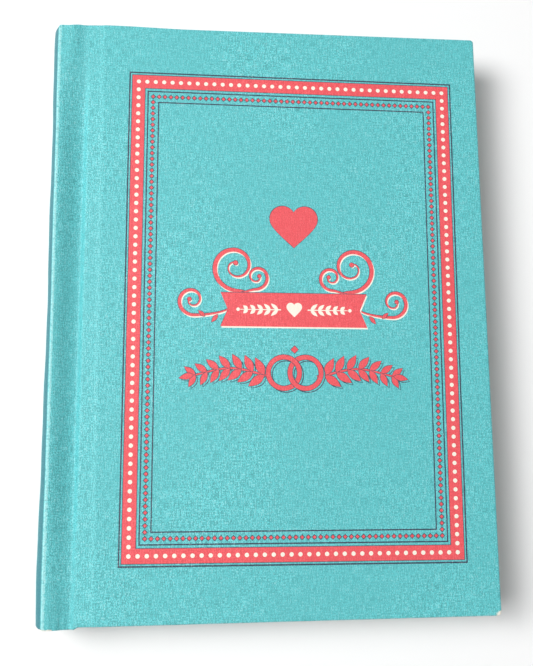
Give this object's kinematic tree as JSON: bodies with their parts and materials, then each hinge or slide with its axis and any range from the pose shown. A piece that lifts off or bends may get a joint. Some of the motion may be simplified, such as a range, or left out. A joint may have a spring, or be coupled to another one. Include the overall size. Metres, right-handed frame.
{
  "type": "wedding guest book",
  "caption": "Hardback wedding guest book with linen-embossed covers, a bordered front, sewn blank pages and covers that open flat on two joints.",
  "frame": {"origin": "middle of the back cover's resting face", "axes": "+X from the spine to the fore edge, +Y from tail to head, +Z from the back cover up to the front cover"},
  "size_m": [0.152, 0.204, 0.019],
  "materials": {
    "covering": "linen-embossed turquoise paper with a satin sheen",
    "board": "grey binder's board",
    "endpaper": "smooth off-white endpaper",
    "page": "uncoated ivory paper",
    "mull": "open starched cotton gauze",
    "lining": "brown kraft paper",
    "thread": "waxed linen thread",
    "band": "ribbed cotton band"
  },
  "bodies": {
    "back_cover": {"back_board": "board", "back_cover_wrap": "covering", "mull_back_wing": "mull", "back_pastedown": "endpaper"},
    "spine": {"spine_board": "board", "spine_wrap": "covering", "spine_lining": "lining", "mull_spine": "mull", "link_stitch_1": "thread", "link_stitch_2": "thread", "link_stitch_3": "thread", "link_stitch_4": "thread", "link_stitch_5": "thread", "link_stitch_6": "thread", "headband": "band", "tailband": "band", "front_joint_wrap": "covering", "back_joint_wrap": "covering"},
    "front_cover": {"front_board": "board", "front_cover_wrap": "covering", "mull_front_wing": "mull", "front_pastedown": "endpaper"},
    "section_1": {"section_1_sheet_1": "page", "section_1_sheet_2": "page", "section_1_sheet_3": "page", "section_1_sheet_4": "page"},
    "section_2": {"section_2_sheet_1": "page", "section_2_sheet_2": "page", "section_2_sheet_3": "page", "section_2_sheet_4": "page"},
    "section_3": {"section_3_sheet_1": "page", "section_3_sheet_2": "page", "section_3_sheet_3": "page", "section_3_sheet_4": "page"},
    "section_4": {"section_4_sheet_1": "page", "section_4_sheet_2": "page", "section_4_sheet_3": "page", "section_4_sheet_4": "page"},
    "section_5": {"section_5_sheet_1": "page", "section_5_sheet_2": "page", "section_5_sheet_3": "page", "section_5_sheet_4": "page"},
    "section_6": {"section_6_sheet_1": "page", "section_6_sheet_2": "page", "section_6_sheet_3": "page", "section_6_sheet_4": "page"},
    "section_7": {"section_7_sheet_1": "page", "section_7_sheet_2": "page", "section_7_sheet_3": "page", "section_7_sheet_4": "page"},
    "section_8": {"section_8_sheet_1": "page", "section_8_sheet_2": "page", "section_8_sheet_3": "page", "section_8_sheet_4": "page"},
    "front_flyleaf": {"front_flyleaf": "endpaper"},
    "back_flyleaf": {"back_flyleaf": "endpaper"}
  },
  "joints": [
    {"name": "back_hinge", "type": "hinge", "parent": "back_cover", "child": "spine", "pos_m": [-0.073, 0, 0.003], "axis": [0, -1, 0], "range_deg": [0, 90], "deforming": ["back_joint_wrap"]},
    {"name": "front_hinge", "type": "hinge", "parent": "spine", "child": "front_cover", "pos_m": [-0.073, 0, 0.016], "axis": [0, -1, 0], "range_deg": [0, 90], "deforming": ["front_joint_wrap"]},
    {"name": "front_flyleaf_turn", "type": "hinge", "parent": "spine", "child": "front_flyleaf", "pos_m": [-0.0724, 0, 0.01537], "axis": [0, -1, 0], "range_deg": [0, 89.1]},
    {"name": "section_1_turn", "type": "hinge", "parent": "spine", "child": "section_1", "pos_m": [-0.0724, 0, 0.01452], "axis": [0, -1, 0], "range_deg": [0, 84.6]},
    {"name": "section_2_turn", "type": "hinge", "parent": "spine", "child": "section_2", "pos_m": [-0.0724, 0, 0.01309], "axis": [0, -1, 0], "range_deg": [0, 79.2]},
    {"name": "section_3_turn", "type": "hinge", "parent": "spine", "child": "section_3", "pos_m": [-0.0724, 0, 0.01165], "axis": [0, -1, 0], "range_deg": [0, 73.8]},
    {"name": "section_4_turn", "type": "hinge", "parent": "spine", "child": "section_4", "pos_m": [-0.0724, 0, 0.01022], "axis": [0, -1, 0], "range_deg": [0, 68.4]},
    {"name": "section_5_turn", "type": "hinge", "parent": "spine", "child": "section_5", "pos_m": [-0.0724, 0, 0.00878], "axis": [0, -1, 0], "range_deg": [-68.4, 0]},
    {"name": "section_6_turn", "type": "hinge", "parent": "spine", "child": "section_6", "pos_m": [-0.0724, 0, 0.00735], "axis": [0, -1, 0], "range_deg": [-73.8, 0]},
    {"name": "section_7_turn", "type": "hinge", "parent": "spine", "child": "section_7", "pos_m": [-0.0724, 0, 0.00591], "axis": [0, -1, 0], "range_deg": [-79.2, 0]},
    {"name": "section_8_turn", "type": "hinge", "parent": "spine", "child": "section_8", "pos_m": [-0.0724, 0, 0.00448], "axis": [0, -1, 0], "range_deg": [-84.6, 0]},
    {"name": "back_flyleaf_turn", "type": "hinge", "parent": "spine", "child": "back_flyleaf", "pos_m": [-0.0724, 0, 0.00364], "axis": [0, -1, 0], "range_deg": [-89.1, 0]}
  ],
  "couplings": [
    {"joint": "front_flyleaf_turn", "follows": "front_hinge", "ratio": 0.99},
    {"joint": "section_1_turn", "follows": "front_hinge", "ratio": 0.94},
    {"joint": "section_2_turn", "follows": "front_hinge", "ratio": 0.88},
    {"joint": "section_3_turn", "follows": "front_hinge", "ratio": 0.82},
    {"joint": "section_4_turn", "follows": "front_hinge", "ratio": 0.76},
    {"joint": "section_5_turn", "follows": "back_hinge", "ratio": -0.76},
    {"joint": "section_6_turn", "follows": "back_hinge", "ratio": -0.82},
    {"joint": "section_7_turn", "follows": "back_hinge", "ratio": -0.88},
    {"joint": "section_8_turn", "follows": "back_hinge", "ratio": -0.94},
    {"joint": "back_flyleaf_turn", "follows": "back_hinge", "ratio": -0.99}
  ]
}
